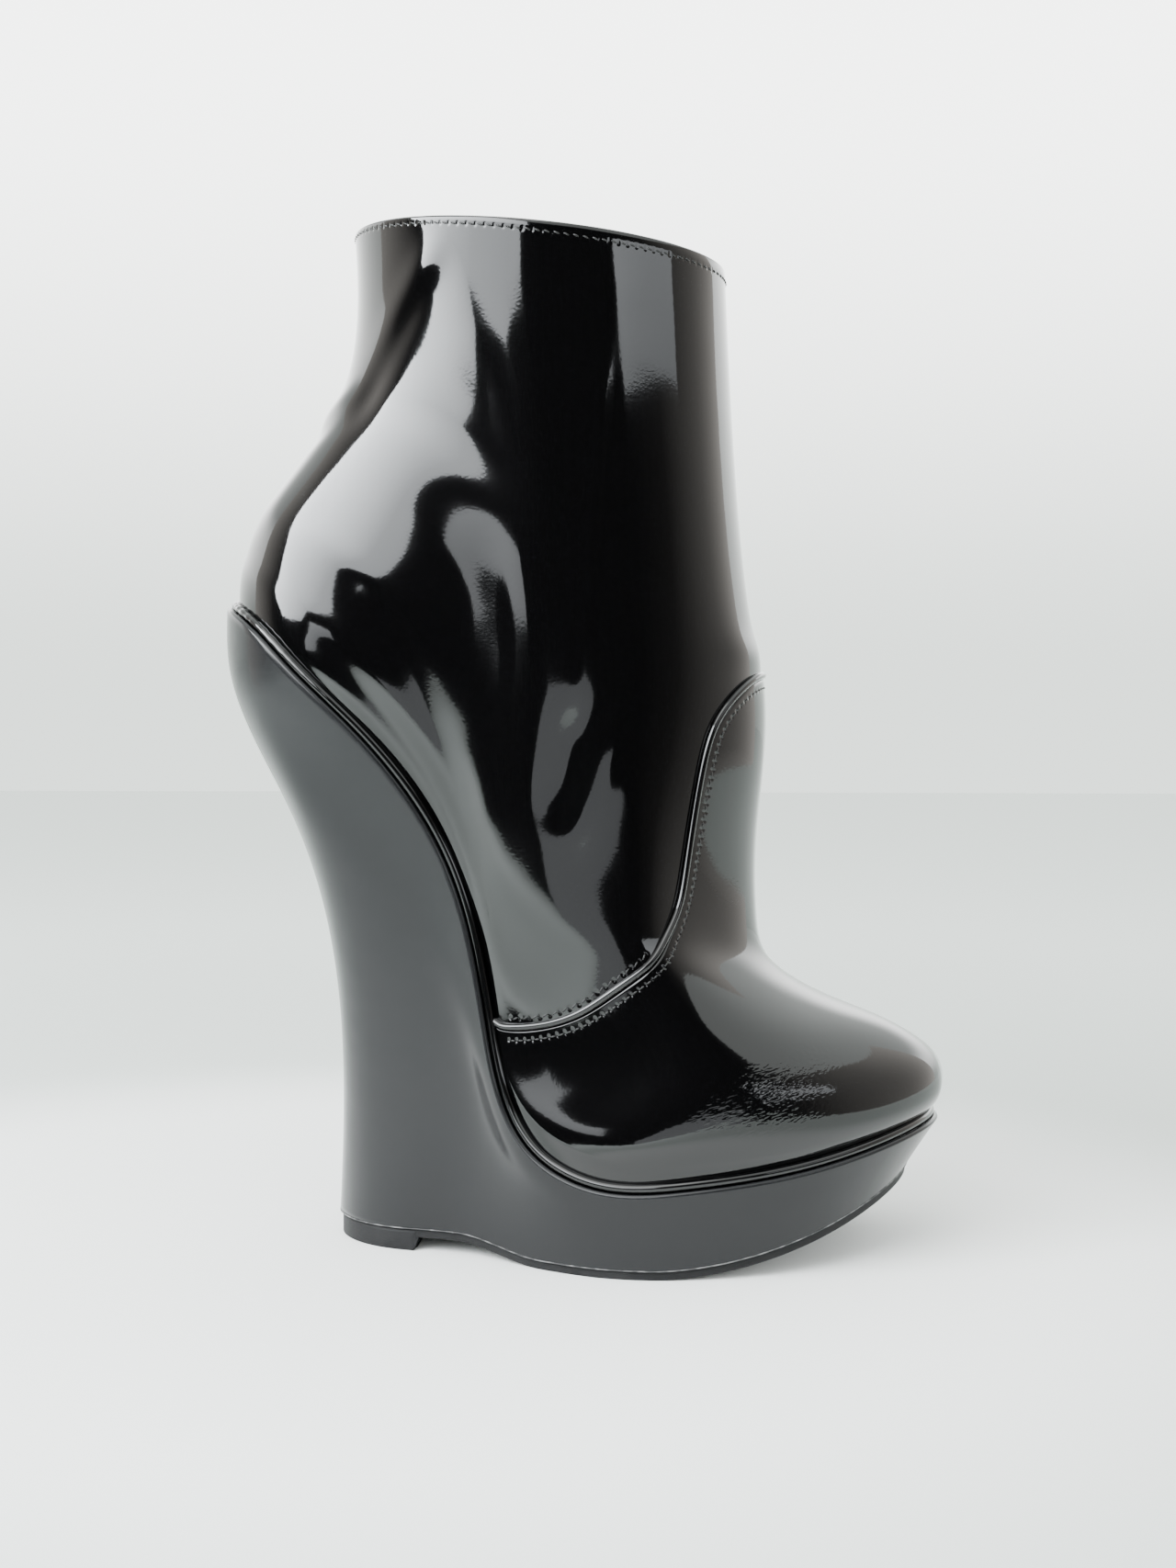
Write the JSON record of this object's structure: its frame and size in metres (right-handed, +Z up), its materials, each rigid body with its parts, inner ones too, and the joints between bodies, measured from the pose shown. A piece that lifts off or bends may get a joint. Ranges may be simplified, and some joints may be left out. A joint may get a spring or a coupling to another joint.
{
  "type": "wedge ankle boot",
  "caption": "Right platform ankle boot on a tall curved wedge: plain tube shaft, vamp and sole edged in piping, open collar, hollow inside.",
  "frame": {"origin": "middle of the heel's flat foot, on the floor", "axes": "+X from heel to toe, +Y to the boot's inner side, +Z up"},
  "size_m": [0.1859, 0.099, 0.2578],
  "materials": {
    "rubber": "matte black rubber",
    "wedge_cover": "black patent leather stretched over the wedge",
    "sock": "smooth black lining leather",
    "patent": "mirror-gloss black patent leather",
    "piping": "black patent leather over a cord"
  },
  "bodies": {
    "root": {"outsole": "rubber", "wedge_platform": "wedge_cover", "insole": "sock", "upper": "patent", "welt_piping": "piping", "vamp_piping": "piping"}
  },
  "joints": []
}
